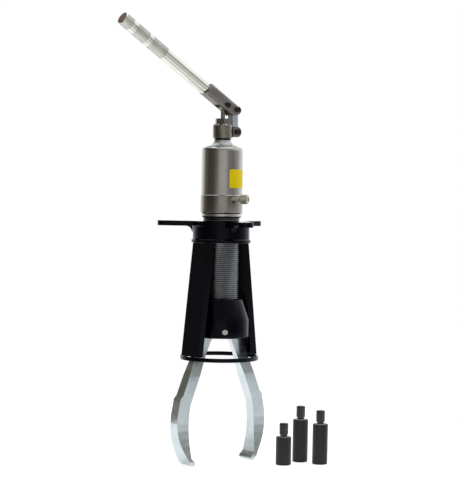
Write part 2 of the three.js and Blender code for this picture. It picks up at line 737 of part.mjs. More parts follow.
function extensionParts() {
  place('extension_rod_short', extensionRod(SHORT_ROD), OXIDE).position.set(71.5, -74.3, FLOOR_Z);
  place('extension_rod_long', extensionRod(LONG_ROD), OXIDE).position.set(113.1, -65.9, FLOOR_Z);
  place('extension_rod_medium', extensionRod(MEDIUM_ROD), OXIDE).position.set(124.5, -99.8, FLOOR_Z);
}

headParts();
stemParts();
ramParts();
cylinderParts();
cageParts();
handleParts();
jawParts();
pumpParts();
plungerParts();
linkParts();
leverParts();
valveParts();
extensionParts();

export default puller;
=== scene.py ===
"""Looks and finer shapes for the hydraulic two-jaw puller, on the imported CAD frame.

Shape code works in millimetres and MM turns them into Blender's metres. An outline is a closed list of (r, z)
points that is turned about Z; a third value in a point is the rounding of that corner.
"""

import json
import math

import bpy
from mathutils import Matrix, Vector


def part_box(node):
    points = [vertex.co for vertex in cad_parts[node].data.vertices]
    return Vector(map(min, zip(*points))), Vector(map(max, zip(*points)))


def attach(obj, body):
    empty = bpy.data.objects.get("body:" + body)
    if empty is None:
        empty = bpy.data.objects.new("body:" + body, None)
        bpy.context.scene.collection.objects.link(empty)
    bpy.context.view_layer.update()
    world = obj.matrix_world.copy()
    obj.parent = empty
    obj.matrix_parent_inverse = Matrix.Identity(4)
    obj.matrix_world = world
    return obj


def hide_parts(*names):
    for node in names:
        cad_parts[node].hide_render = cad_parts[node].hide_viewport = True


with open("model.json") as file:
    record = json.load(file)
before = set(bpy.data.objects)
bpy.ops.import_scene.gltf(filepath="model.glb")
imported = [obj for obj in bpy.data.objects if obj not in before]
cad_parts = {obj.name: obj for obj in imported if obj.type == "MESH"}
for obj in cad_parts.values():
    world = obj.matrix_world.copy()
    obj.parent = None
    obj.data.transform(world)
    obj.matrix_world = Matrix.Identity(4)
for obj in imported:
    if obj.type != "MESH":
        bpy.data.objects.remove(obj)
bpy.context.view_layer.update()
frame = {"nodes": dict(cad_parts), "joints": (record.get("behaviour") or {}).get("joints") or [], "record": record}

MM = 0.001
TAU = 2 * math.pi

THREAD_PITCH = 3.175
THREAD_BORE = 28.9  # radius of the bores that screw onto the stem
VALVE_AZIMUTH = math.radians(-56)
BAR_RADIUS = 10.0
BAR_BORE = 9.1
BAR_RISE = 1.8  # from the plunger pin up to the bar's axis
PLUG_DEPTH = 5.8
PLUG_MIDDLE = 2.65  # from the plug's middle to the bar's end

CAMERA_AZIMUTH = math.radians(-38.36)
CAMERA_ELEVATION = math.radians(3.71)
CAMERA_ROLL = math.radians(0.9)
CAMERA_DISTANCE = 2.5
CAMERA_TARGET = Vector((0, 0, 0.060))
CAMERA_LENS = 125.97
CAMERA_SHIFT = (0.02154, 0.11333)

node_body = {n: b for b, ns in frame["record"]["behaviour"]["bodies"].items() for n in ns}
node_slot = {s["node"]: s["material_slot"] for s in frame["record"]["subparts"]}


def mm_box(node):
    """Lowest and highest corners of a CAD node in millimetres."""
    low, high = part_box(node)
    return low / MM, high / MM


# ---------------------------------------------------------------- materials
EVEN = (1, 1, 1)
TURNED = (0.25, 0.25, 9.0)  # grain squeezed along Z, as a lathe leaves it


class Wiring:
    """Adds and links the nodes of one node tree."""

    def __init__(self, tree):
        self.tree = tree

    def node(self, kind, **values):
        made = self.tree.nodes.new(kind)
        for key, value in values.items():
            setattr(made, key, value)
        return made

    def link(self, source, target):
        self.tree.links.new(source, target)
        return target

    def coords(self, scale):
        source = self.node("ShaderNodeTexCoord")
        mapping = self.node("ShaderNodeMapping")
        mapping.inputs["Scale"].default_value = scale
        self.link(source.outputs["Object"], mapping.inputs["Vector"])
        return mapping.outputs["Vector"]

    def noise(self, vector, scale, detail=4.0, rough=0.55):
        made = self.node("ShaderNodeTexNoise")
        made.inputs["Scale"].default_value = scale
        made.inputs["Detail"].default_value = detail
        made.inputs["Roughness"].default_value = rough
        self.link(vector, made.inputs["Vector"])
        return made.outputs["Fac"]

    def span(self, value, low, high, to_low=0.0, to_high=1.0, easing="LINEAR"):
        made = self.node("ShaderNodeMapRange", interpolation_type=easing)
        made.inputs["From Min"].default_value = low
        made.inputs["From Max"].default_value = high
        made.inputs["To Min"].default_value = to_low
        made.inputs["To Max"].default_value = to_high
        self.link(value, made.inputs["Value"])
        return made.outputs["Result"]

    def math(self, operation, first, second=None):
        made = self.node("ShaderNodeMath", operation=operation)
        for slot, value in enumerate((first, second)):
            if value is None:
                continue
            if isinstance(value, (int, float)):
                made.inputs[slot].default_value = value
            else:
                self.link(value, made.inputs[slot])
        return made.outputs["Value"]

    def mix(self, factor, first, second):
        made = self.node("ShaderNodeMix", data_type="RGBA")
        for name, value in (("Factor", factor), ("A", first), ("B", second)):
            socket = next(s for s in made.inputs if s.name == name and s.enabled)
            if isinstance(value, (int, float)):
                socket.default_value = value
            elif isinstance(value, (tuple, list)):
                socket.default_value = (*value, 1.0)
            else:
                self.link(value, socket)
        return next(s for s in made.outputs if s.name == "Result" and s.enabled)

    def camera_ray(self):
        """1 for what the camera sees directly, 0 for reflections and light."""
        return self.node("ShaderNodeLightPath").outputs["Is Camera Ray"]

    def from_camera(self, vector):
        """A vector's distance to the camera's right, away from the camera and up."""
        turn = self.node("ShaderNodeVectorRotate", rotation_type="Z_AXIS")
        turn.inputs["Angle"].default_value = -CAMERA_AZIMUTH
        self.link(vector, turn.inputs["Vector"])
        split = self.node("ShaderNodeSeparateXYZ")
        self.link(turn.outputs["Vector"], split.inputs[0])
        return split.outputs


class Shader(Wiring):
    """The nodes of a Principled material."""

    def __init__(self, name):
        self.material = bpy.data.materials.new(name)
        self.material.use_nodes = True
        super().__init__(self.material.node_tree)
        self.bsdf = self.tree.nodes["Principled BSDF"]

    def bump(self, height, distance, strength=1.0):
        made = self.node("ShaderNodeBump")
        made.inputs["Strength"].default_value = strength
        made.inputs["Distance"].default_value = distance
        self.link(height, made.inputs["Height"])
        self.link(made.outputs["Normal"], self.bsdf.inputs["Normal"])

    def edges(self, radius):
        """1 on worn convex edges, 0 on flats."""
        bevel = self.node("ShaderNodeBevel", samples=4)
        bevel.inputs["Radius"].default_value = radius
        geometry = self.node("ShaderNodeNewGeometry")
        dot = self.node("ShaderNodeVectorMath", operation="DOT_PRODUCT")
        self.link(bevel.outputs["Normal"], dot.inputs[0])
        self.link(geometry.outputs["Normal"], dot.inputs[1])
        return self.span(dot.outputs["Value"], 0.985, 0.90)


def surface(name, base, metallic, roughness, grain, grain_scale, blotch, rough_vary=0.08, bump=0.00004,
            wear=None, wear_amount=0.5, specular=0.5):
    """A finish with soft blotches, a directional grain, fine bump and worn edges."""
    s = Shader(name)
    plain = s.coords(EVEN)
    along = s.coords(grain)
    broad = s.noise(plain, 38.0, 3.0)
    fine = s.noise(along, grain_scale, 5.0, 0.6)
    smudge = s.noise(plain, 120.0, 6.0, 0.7)
    dark = tuple(c * (1 - blotch) for c in base)
    light = tuple(min(1.0, c * (1 + blotch)) for c in base)
    colour = s.mix(s.span(broad, 0.35, 0.65), dark, light)
    colour = s.mix(s.span(fine, 0.35, 0.75, 0.0, blotch), colour, tuple(c * 0.55 for c in base))
    if wear:
        broken = s.math("MULTIPLY", s.edges(0.0006), s.span(smudge, 0.4, 0.65, 0.0, wear_amount))
        colour = s.mix(broken, colour, wear)
    s.link(colour, s.bsdf.inputs["Base Color"])
    s.bsdf.inputs["Metallic"].default_value = metallic
    s.bsdf.inputs["Specular IOR Level"].default_value = specular
    rough = s.math("ADD", s.span(smudge, 0.3, 0.7, roughness - rough_vary, roughness + rough_vary),
                   s.span(fine, 0.3, 0.7, -0.03, 0.03))
    s.link(rough, s.bsdf.inputs["Roughness"])
    height = s.math("ADD", s.math("MULTIPLY", fine, 0.7), s.math("MULTIPLY", smudge, 0.3))
    s.bump(height, bump)
    return s


finishes = {
    "black_paint": surface("black_gloss_paint", (0.0012, 0.0015, 0.0045), 0.0, 0.10, EVEN, 420, 0.25, 0.03,
                           0.000002, wear=(0.05, 0.05, 0.055), wear_amount=0.3, specular=0.13),
    "grey_coat": surface("grey_satin_coat", (0.50, 0.48, 0.455), 1.0, 0.2, TURNED, 300, 0.04, 0.03, 0.000001,
                         wear=(0.75, 0.74, 0.72)),
    "machined_steel": surface("turned_steel", (0.62, 0.62, 0.61), 1.0, 0.26, TURNED, 300, 0.08, 0.05,
                              0.000002, wear=(0.8, 0.8, 0.8)),
    "spring_steel": surface("drawn_wire", (0.30, 0.30, 0.31), 1.0, 0.35, EVEN, 600, 0.12),
    "zinc_plate": surface("bright_zinc", (0.66, 0.73, 0.74), 0.97, 0.22, (1, 1, 0.35), 260, 0.05, 0.05,
                          0.000006, wear=(0.86, 0.9, 0.9)),
    "lever_bracket_grey": surface("cast_bracket", (0.27, 0.245, 0.225), 0.8, 0.42, EVEN, 700, 0.12, 0.06,
                                  0.00002, wear=(0.6, 0.58, 0.54)),
    "black_rubber": surface("black_rubber", (0.012, 0.012, 0.012), 0.0, 0.55, EVEN, 900, 0.3, 0.08, 0.00005),
    "yellow_label": surface("yellow_film", (1.0, 0.74, 0.0), 0.0, 0.45, EVEN, 500, 0.05, 0.08, 0.00001,
                            specular=0.12),
    "brown_plug": surface("brown_plug", (0.23, 0.135, 0.095), 0.0, 0.6, EVEN, 500, 0.25, 0.1, 0.00010),
    "black_oxide": surface("black_oxide", (0.005, 0.005, 0.0052), 0.0, 0.38, (0.4, 0.4, 5.0), 300, 0.2, 0.06,
                           0.000005, wear=(0.16, 0.16, 0.16), wear_amount=0.6),
}
base_steel = surface("dark_turned_base", (0.36, 0.335, 0.315), 1.0, 0.15, TURNED, 300, 0.06, 0.04, 0.000002,
                     wear=(0.7, 0.7, 0.68))
link_zinc = surface("pale_zinc", (0.62, 0.68, 0.75), 0.9, 0.3, EVEN, 500, 0.05, 0.05, 0.000005,
                    wear=(0.85, 0.88, 0.9))
cap_steel = surface("satin_cap", (0.66, 0.66, 0.64), 1.0, 0.46, EVEN, 300, 0.05, 0.04, 0.0000004,
                    wear=(0.75, 0.75, 0.73))
pump_steel = surface("pump_body_steel", (0.30, 0.28, 0.24), 0.95, 0.28, TURNED, 300, 0.08, 0.05, 0.000003,
                     wear=(0.55, 0.55, 0.56))
thread_steel = surface("stem_steel", (0.205, 0.21, 0.215), 1.0, 0.30, TURNED, 300, 0.10, 0.06, 0.000003,
                       wear=(0.6, 0.6, 0.6))
valve_steel = surface("warm_knurled_steel", (0.56, 0.52, 0.42), 0.95, 0.3, EVEN, 600, 0.1, 0.06, 0.000004,
                      wear=(0.8, 0.76, 0.64))


def finish_of(slot):
    return finishes[slot].material


def around_bar(s):
    """From the bar's UV map: metres round it, metres along it, and degrees round it."""
    uv = s.node("ShaderNodeUVMap", uv_map="around")
    split = s.node("ShaderNodeSeparateXYZ")
    s.link(uv.outputs["UV"], split.inputs[0])
    round_it, along_it = split.outputs[0], split.outputs[1]
    return round_it, along_it, s.math("MULTIPLY", round_it, 360 / (TAU * BAR_RADIUS * MM))


def painted_reflection_band(s, degrees, middle, half, soft):
    """1 inside a lengthwise band round the given angle, fading to 0 beside it; the mask of a painted reflection
    band.
    """
    away = s.math("ABSOLUTE", s.math("SUBTRACT", degrees, middle))
    return s.span(away, half, half + soft, 1.0, 0.0)


def recolour(s, factor, amount, tint):
    """Lays a tint over the base colour where the factor is high."""
    socket = s.bsdf.inputs["Base Color"]
    before = socket.links[0].from_socket
    s.link(s.mix(s.math("MULTIPLY", factor, amount), before, tint), socket)


def drawn_bar_with_painted_reflections():
    """The smooth half of the bar: lengthwise draw lines, and painted reflections as darker bands along its flanks.
    """
    s = surface("drawn_bar_with_painted_reflections", (0.86, 0.84, 0.75), 1.0, 0.17, EVEN, 900, 0.04, 0.04, 0.000002,
                wear=(0.8, 0.8, 0.76))
    round_it, along_it, degrees = around_bar(s)
    line = s.node("ShaderNodeCombineXYZ")
    s.link(round_it, line.inputs[0])
    s.link(s.math("MULTIPLY", along_it, 0.01), line.inputs[1])
    recolour(s, s.span(s.noise(line.outputs[0], 900.0, 3.0), 0.45, 0.7), 0.18, (0.45, 0.45, 0.42))
    # Painted reflections: darker bands at fixed angles round the bar stand in for the dark parts of the room that
    # it mirrors.
    recolour(s, painted_reflection_band(s, degrees, 140, 2, 3), 0.75, (0.16, 0.18, 0.13))
    recolour(s, painted_reflection_band(s, degrees, 22, 8, 14), 0.5, (0.38, 0.37, 0.42))
    recolour(s, painted_reflection_band(s, degrees, 196, 12, 10), 0.55, (0.36, 0.38, 0.34))
    return s.material


def knurled_bar_with_painted_light():
    """The lever bar's grip: a satin finish with a fine crossed knurl on its UV map, painted shade in the knurl's
    grooves and painted reflection bands.
    """
    s = surface("knurled_grip_with_painted_light", (0.64, 0.64, 0.57), 0.85, 0.34, EVEN, 1300, 0.12, 0.05, 0.00001)
    round_it, along_it, degrees = around_bar(s)
    waves = []
    for sign in (1.0, -1.0):
        across = s.math("ADD", round_it, s.math("MULTIPLY", along_it, sign))
        waves.append(s.math("ABSOLUTE", s.math("SINE", s.math("MULTIPLY", across, 2600.0))))
    height = s.math("MULTIPLY", waves[0], waves[1])
    # Painted shade: the knurl is only a bump, so its grooves are darkened in the colour.
    recolour(s, s.span(height, 0.0, 0.35, 1.0, 0.0), 0.3, (0.2, 0.2, 0.18))
    # Painted reflections: darker bands at fixed angles round the grip.
    recolour(s, painted_reflection_band(s, degrees, 40, 26, 8), 0.4, (0.26, 0.26, 0.27))
    recolour(s, painted_reflection_band(s, degrees, 196, 12, 10), 0.5, (0.2, 0.2, 0.17))
    s.bump(height, 0.00008, 0.6)
    return s.material


# ---------------------------------------------------------------- mesh tools
def weld(piece):
    """Joins points that lie on top of each other, such as those that meet on the lathe's axis."""
    joined = piece.modifiers.new("weld", "WELD")
    joined.merge_threshold = 1e-6


def new_mesh(name, verts, faces, smooth_angle=40):
    mesh = bpy.data.meshes.new(name)
    mesh.from_pydata([Vector(v) * MM for v in verts], [], faces)
    mesh.validate()
    return new_piece(name, mesh, smooth_angle)


def new_piece(name, mesh, smooth_angle):
    mesh.polygons.foreach_set("use_smooth", [True] * len(mesh.polygons))
    mesh.set_sharp_from_angle(angle=math.radians(smooth_angle))
    made = bpy.data.objects.new(name, mesh)
    bpy.context.scene.collection.objects.link(made)
    return made


def dress(piece, node, material=None):
    """Puts a new piece in place of a CAD node: same body, same material slot."""
    slot = node_slot[node]
    piece.data.materials.append(material or finish_of(slot))
    stand_in(piece, node)


def stand_in(piece, node):
    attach(piece, node_body[node])
    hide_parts(node)


def rounded(outline, radius, steps=6):
    """Rounds every corner of a closed outline of (r, z) points."""
    result = []
    count = len(outline)
    for i, corner in enumerate(outline):
        here = Vector((corner[0], corner[1], 0))
        size = corner[2] if len(corner) > 2 else radius
        before = Vector((*outline[i - 1][:2], 0)) - here
        after = Vector((*outline[(i + 1) % count][:2], 0)) - here
        reach = min(size, before.length * 0.45, after.length * 0.45)
        if here.x <= 0 or reach <= 0:
            result.append((here.x, here.y))
            continue
        start = here + before.normalized() * reach
        end = here + after.normalized() * reach
        for step in range(steps + 1):
            t = step / steps
            point = start * (1 - t) ** 2 + here * 2 * t * (1 - t) + end * t ** 2
            result.append((point.x, point.y))
    return result


def revolved(rings):
    """Points and faces through one closed (r, z) ring per step round Z. Edges on the axis get no faces."""
    count = len(rings[0])
    verts = []
    faces = []
    for i, ring in enumerate(rings):
        angle = TAU * i / len(rings)
        verts += [(r * math.cos(angle), r * math.sin(angle), z) for r, z in ring]
        j = (i + 1) % len(rings)
        for k in range(count):
            m = (k + 1) % count
            if ring[k][0] > 0 or ring[m][0] > 0:
                faces.append((i * count + k, j * count + k, j * count + m, i * count + m))
    return verts, faces


def turned(name, outline, segments, radius, shape=None):
    """An outline turned about Z. shape(r, z, angle) may move the surface in or out."""
    profile = rounded(outline, radius)
    rings = []
    for i in range(segments):
        angle = TAU * i / segments
        rings.append([(shape(r, z, angle) if shape else r, z) for r, z in profile])
    made = new_mesh(name, *revolved(rings))
    weld(made)
    return made


def keep(node, bevel, material):
    """A CAD node stays, with softened edges and its finish."""
    held = frame["nodes"][node]
    held.data.materials.clear()
    held.data.materials.append(material)
    held.data.polygons.foreach_set("use_smooth", [True] * len(held.data.polygons))
    weld(held)
    soft = held.modifiers.new("soft_edges", "BEVEL")
    soft.width = bevel * MM
    soft.segments = 3
    soft.limit_method = "ANGLE"
    soft.angle_limit = math.radians(35)
    soft.use_clamp_overlap = True
    soft.harden_normals = False
    even = held.modifiers.new("even_normals", "WEIGHTED_NORMAL")
    even.keep_sharp = True
    even.weight = 80


# ---------------------------------------------------------------- stem, cylinder and cap
def threaded_stem():
    """The hollow stem, with a real helical thread from the jaw head up to the cylinder."""
    low, high = mm_box("threaded_stem")
    outer = high.x
    bore = 15.3
    spigot = 24.0
    depth = 1.35
    step = mm_box("jaw_head")[1].z + 0.3
    length = high.z - 3 - step - 1
    segments = 72
    rows_per_pitch = 6
    count = int(length / THREAD_PITCH * rows_per_pitch)
    heights = [step + 1 + length * k / count for k in range(count + 1)]
    fixed_low = [(bore, low.z), (spigot, low.z), (spigot, step), (outer - 2, step)]
    fixed_high = [(outer - 1.6, high.z - 1), (outer - 2.6, high.z), (bore, high.z)]

    def groove(z, turn):
        phase = (z / THREAD_PITCH - turn) % 1.0
        ridge = min(1.0, max(0.0, 1.55 * (1 - abs(2 * phase - 1)) - 0.2))
        return depth * (1 - ridge)

    rings = []
    for i in range(segments):
        thread = [(outer - groove(z, i / segments), z) for z in heights]
        rings.append(fixed_low + thread + fixed_high)
    dress(new_mesh("stem_with_thread", *revolved(rings), 60), "threaded_stem", thread_steel.material)


def cylinder_barrel():
    low, high = mm_box("cylinder_barrel")
    outer = high.x
    bore = 27.5
    cap_hole = 10.3
    ceiling = high.z - 8.5
    shoulder_round = 6.5
    outline = [
        (bore, low.z), (outer - 0.1, low.z), (outer, low.z + 1.2), (outer, high.z, shoulder_round),
        (cap_hole, high.z), (cap_hole, ceiling), (bore, ceiling)]
    dress(turned("barrel_body", outline, 128, 0.6), "cylinder_barrel")


def cylinder_base():
    low, high = mm_box("cylinder_base")
    outer = high.x
    stem_top = mm_box("threaded_stem")[1].z + 0.3
    oil_hole = 6
    outline = [
        (THREAD_BORE, low.z), (outer - 1.2, low.z), (outer, low.z + 1.2), (outer, high.z - 0.4),
        (outer - 0.3, high.z), (oil_hole, high.z), (oil_hole, stem_top), (THREAD_BORE, stem_top)]
    dress(turned("base_body", outline, 128, 0.4), "cylinder_base", base_steel.material)


def lock_ring():
    low, high = mm_box("lock_ring")
    outline = [
        (THREAD_BORE, low.z), (THREAD_BORE + 0.8, low.z), (high.x, low.z + 2), (high.x, high.z - 0.8),
        (high.x - 0.6, high.z), (THREAD_BORE, high.z)]
    dress(turned("lock_ring_body", outline, 128, 0.3), "lock_ring")


def cylinder_cap():
    """A low shoulder that flows up into the neck, and above it the tenon that the pump head turns on."""
    low, high = mm_box("cylinder_cap")
    shoulder = mm_box("cylinder_barrel")[1].z + 0.1
    neck = 13.2
    neck_top = mm_box("swivel_o_ring")[0].z - 0.3
    plug = 10
    tenon = 8.5
    groove = 7.4
    groove_low = mm_box("swivel_snap_ring")[0].z - 0.2
    groove_high = mm_box("swivel_snap_ring")[1].z + 0.2
    oil_hole = 3
    outline = [
        (oil_hole, low.z), (plug, low.z), (plug, shoulder), (24.5, shoulder), (24.2, shoulder + 1),
        (18, shoulder + 2.4, 2.5), (neck + 1, shoulder + 6, 2), (neck, shoulder + 8.6, 1.5),
        (neck, neck_top), (tenon, neck_top), (tenon, groove_low), (groove, groove_low),
        (groove, groove_high), (tenon, groove_high), (tenon, high.z), (oil_hole, high.z)]
    dress(turned("cap_body", outline, 96, 0.4), "cylinder_cap", cap_steel.material)


def swivel_o_ring():
    low, high = mm_box("swivel_o_ring")
    bore = 9.2
    middle = (low.z + high.z) / 2
    half = (high.z - low.z) / 2
    outline = [
        (bore, low.z), (high.x - half, low.z), (high.x, middle - half * 0.4), (high.x, middle + half * 0.4),
        (high.x - half, high.z), (bore, high.z)]
    dress(turned("o_ring_body", outline, 96, 0.9), "swivel_o_ring")


def label():
    """A curved film with rounded corners, lying on the barrel."""
    low, high = mm_box("label_plate")
    radius = mm_box("cylinder_barrel")[1].x
    middle = math.radians(-69)
    width = 2 * math.radians(38) * radius
    height = high.z - low.z
    corner = 2.0
    outside = 0.14
    inside = -0.3
    columns = 36
    rows = 10
    verts = []
    faces = []
    for side in (outside, inside):
        for i in range(columns + 1):
            across = -width / 2 + width * i / columns
            inset = max(0.0, abs(across) - (width / 2 - corner))
            trim = corner - math.sqrt(max(0.0, corner ** 2 - inset ** 2))
            angle = middle + across / radius
            for k in range(rows + 1):
                z = low.z + trim + (height - 2 * trim) * k / rows
                verts.append(((radius + side) * math.cos(angle), (radius + side) * math.sin(angle), z))
    n = rows + 1
    sheet = (columns + 1) * n
    for i in range(columns):
        for k in range(rows):
            a = i * n + k
            faces.append((a, a + n, a + n + 1, a + 1))
            faces.append((sheet + a, sheet + a + 1, sheet + a + n + 1, sheet + a + n))
    rim = [i * n for i in range(columns + 1)] + [columns * n + k for k in range(1, n)]
    rim += [i * n + rows for i in range(columns - 1, -1, -1)] + list(range(rows - 1, 0, -1))
    for a, b in zip(rim, rim[1:] + rim[:1]):
        faces.append((b, a, sheet + a, sheet + b))
    dress(new_mesh("label_film", verts, faces), "label_plate")


# ---------------------------------------------------------------- cage and saddle
def cage_collar():
    low, high = mm_box("cage_collar")
    wall = 44
    nut_bore = 36.2
    foot_bore = 41.5
    top = high.z + 0.3
    outline = [
        (foot_bore, low.z), (high.x, low.z), (high.x, low.z + 4.5), (wall, low.z + 5.8, 1.0),
        (wall, high.z - 0.3), (wall - 0.4, top), (nut_bore, top), (nut_bore, low.z + 4.2),
        (foot_bore, low.z + 4.2)]
    dress(turned("collar_body", outline, 128, 0.7), "cage_collar")


def cage_ring():
    low, high = mm_box("cage_ring")
    bore = 57.7
    outline = [(bore, low.z), (high.x, low.z), (high.x, high.z, 0.5), (bore, high.z, 0.3)]
    dress(turned("cage_ring_body", outline, 160, 1.2), "cage_ring")


def ram_saddle():
    """A disc with a shallow groove round its pushing face."""
    low, high = mm_box("ram_saddle")
    outline = [
        (0, low.z), (3, low.z), (3.6, low.z + 1), (5, low.z + 1), (5.6, low.z), (high.x - 1, low.z),
        (high.x, low.z + 1), (high.x, high.z - 0.6), (high.x - 0.6, high.z), (0, high.z)]
    dress(turned("saddle_body", outline, 96, 0.25), "ram_saddle")


# ---------------------------------------------------------------- valve knob
def valve_knob():
    """A knob with straight knurling. It is turned about Z and laid along the valve's axis."""
    seat = next(j for j in frame["joints"] if j["name"] == "release_valve_turn")["pos_m"]
    bore = 3.3
    face = 5.4
    outer = 7.2
    near, far = 11, 24
    teeth = 28
    depth = 0.45

    def knurl(r, z, angle):
        if r < outer - 0.6 or not near + 1.6 < z < far - 1.6:
            return r
        return r - depth * abs(math.sin(angle * teeth / 2))

    outline = [(bore, near), (face, near), (outer, near + 1.4)]
    outline += [(outer, z) for z in (13.2, 15, 17, 19, 21, far - 1.8)]
    outline += [(face + 0.4, far), (bore, far)]
    knob = turned("knurled_knob", outline, 168, 0.3, knurl)
    along = Matrix.Rotation(VALVE_AZIMUTH, 4, "Z") @ Matrix.Rotation(math.pi / 2, 4, "Y")
    knob.matrix_world = Matrix.Translation(Vector(seat)) @ along
    dress(knob, "valve_knob", valve_steel.material)


# ---------------------------------------------------------------- lever bar
def middle_of(node):
    """The middle of a CAD node in the lever's plane."""
    low, high = mm_box(node)
    return Vector(((low.x + high.x) / 2, 0, (low.z + high.z) / 2))


def lever_frame():
    """The lever's own axes, +Z along the bar from the plunger pin, and the bar's end along it."""
    pin = middle_of("plunger_pin")
    plug = middle_of("end_plug") - pin
    reach = math.sqrt(plug.length ** 2 - BAR_RISE ** 2)
    rise = math.atan2(plug.z, -plug.x) - math.atan2(BAR_RISE, reach)
    along = Vector((-math.cos(rise), 0, math.sin(rise)))
    upward = Vector((math.sin(rise), 0, math.cos(rise)))
    side = upward.cross(along)
    turn = Matrix((upward, side, along)).transposed().to_4x4()
    return Matrix.Translation((pin + upward * BAR_RISE) * MM) @ turn, reach + PLUG_MIDDLE


def lever_bar():
    """A polished bar whose outer half carries a knurled grip with two smooth bands let into it."""
    place, end = lever_frame()
    tang = 6.0
    tang_start = 15.0
    start = 43.5
    grip_start = end - 89
    bands = (end - 54.5, end - 21)
    segments = 128
    rows = 112
    heights = [start + (end - start) * k / rows for k in range(rows + 1)]

    def size(z):
        r = BAR_RADIUS - (0.15 if z < grip_start else 0.0)
        if any(abs(z - band) < 4.2 for band in bands):
            r = BAR_RADIUS - 0.3
        edge = min(z - start, end - z)
        return r - max(0.0, 1.2 - edge) * 0.6

    ring = [(tang, tang_start), (tang, start)] + [(size(z), z) for z in heights]
    ring += [(BAR_BORE, end), (BAR_BORE, end - PLUG_DEPTH), (0.0, end - PLUG_DEPTH), (0.0, tang_start)]
    verts, faces = revolved([ring] * segments)
    mesh = bpy.data.meshes.new("lever_bar_body")
    mesh.from_pydata([Vector(v) * MM for v in verts], [], faces)
    mesh.materials.append(drawn_bar_with_painted_reflections())
    mesh.materials.append(knurled_bar_with_painted_light())
    layer = mesh.uv_layers.new(name="around")
    arc = TAU / segments * BAR_RADIUS * MM
    for face in mesh.polygons:
        segment, k = divmod(faces[face.index][0], len(ring))
        low = ring[k][1]
        high = ring[(k + 1) % len(ring)][1]
        middle = (low + high) / 2
        knurled = 2 <= k < 2 + rows and grip_start < middle < end - 1.5
        banded = any(abs(middle - band) < 4.4 for band in bands)
        face.material_index = 1 if knurled and not banded else 0
        corners = ((segment, low), (segment + 1, low), (segment + 1, high), (segment, high))
        for loop, (steps, z) in zip(face.loop_indices, corners):
            layer.data[loop].uv = (steps * arc, z * MM)
    bar = new_piece("lever_bar_body", mesh, 35)
    bar.matrix_world = place
    weld(bar)
    stand_in(bar, "lever_bar")


def end_plug():
    place, end = lever_frame()
    radius = BAR_BORE - 0.2
    bottom = end - PLUG_DEPTH + 0.2
    outline = [
        (0, bottom), (radius, bottom), (radius, end - 0.6), (radius - 0.6, end), (3.0, end + 0.25),
        (0, end + 0.3)]
    plug = turned("end_plug_body", outline, 72, 0.3)
    plug.matrix_world = place
    dress(plug, "end_plug")


# ---------------------------------------------------------------- pump, rods and T-handle details
def gland_nut():
    """A hexagon with its top and bottom corners turned down."""
    low, high = mm_box("gland_nut")
    corner = 12.6
    bore = 3.7
    sixth = math.pi / 3

    def hexagon(r, z, angle):
        if r < 9:
            return r
        flat = corner * math.cos(sixth / 2) / math.cos(angle % sixth - sixth / 2)
        inward = min(z - low.z, high.z - z)
        return min(flat, corner - 1.0 + inward * 1.2)

    rows = [low.z + (high.z - low.z) * k / 8 for k in range(9)]
    outline = [(bore, low.z)] + [(corner, z) for z in rows] + [(bore, high.z)]
    dress(turned("gland_hex", outline, 144, 0.2, hexagon), "gland_nut", pump_steel.material)


def extension_rods():
    """Plain rods with a waisted, grooved stud on top. They stay out of the jaws' mirror-like flanks."""
    pitch = 1.6
    stud = 21
    neck = 5.6
    for node in ("extension_rod_short", "extension_rod_medium", "extension_rod_long"):
        low, high = mm_box(node)
        radius = (high.x - low.x) / 2
        body = high.z - stud
        outline = [
            (0, low.z), (radius - 1, low.z), (radius, low.z + 1), (radius, body - 1), (radius - 1, body),
            (neck, body), (neck, body + 3)]
        z = body + 3.6
        while z < high.z - 2:
            outline += [(6.5, z), (7.3, z + pitch * 0.5)]
            z += pitch
        outline += [(7.0, high.z - 1.4), (5.8, high.z), (0, high.z)]
        made = turned(node + "_body", outline, 72, 0.25)
        made.location = ((low.x + high.x) / 2 * MM, (low.y + high.y) / 2 * MM, 0)
        made.visible_glossy = False
        dress(made, node)


def handle_gussets():
    """Curved welded webs under the arms of the T-handle, clear of the collar."""
    under = mm_box("t_handle_plate")[0].z
    inner = 44.5
    reach = 10.0
    drop = 9.0
    half = 4.0
    edge = 0.6
    section = [(inner, under - drop)]
    for step in range(9):
        turn = step / 8 * math.pi / 2
        outward = inner + 1 + reach * (1 - math.cos(turn))
        section.append((outward, under - drop * (1 - math.sin(turn))))
    section += [(inner + reach + 1, under + 0.4), (inner, under + 0.4)]
    count = len(section)
    for number, azimuth in enumerate((16, 136, 256)):
        verts = []
        faces = []
        for y, shrink in ((-half, edge), (-half + edge, 0.0), (half - edge, 0.0), (half, edge)):
            verts += [(x - (shrink if x > inner + 0.5 else 0), y, z) for x, z in section]
        for layer in (0, count, 2 * count):
            for k in range(count):
                m = (k + 1) % count
                faces.append((layer + k, layer + m, layer + count + m, layer + count + k))
        faces.append(tuple(range(count - 1, -1, -1)))
        faces.append(tuple(3 * count + k for k in range(count)))
        web = new_mesh(f"arm_web_{number + 1}", verts, faces, 30)
        web.matrix_world = Matrix.Rotation(math.radians(azimuth), 4, "Z")
        web.data.materials.append(finish_of("black_paint"))
        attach(web, "t_handle")


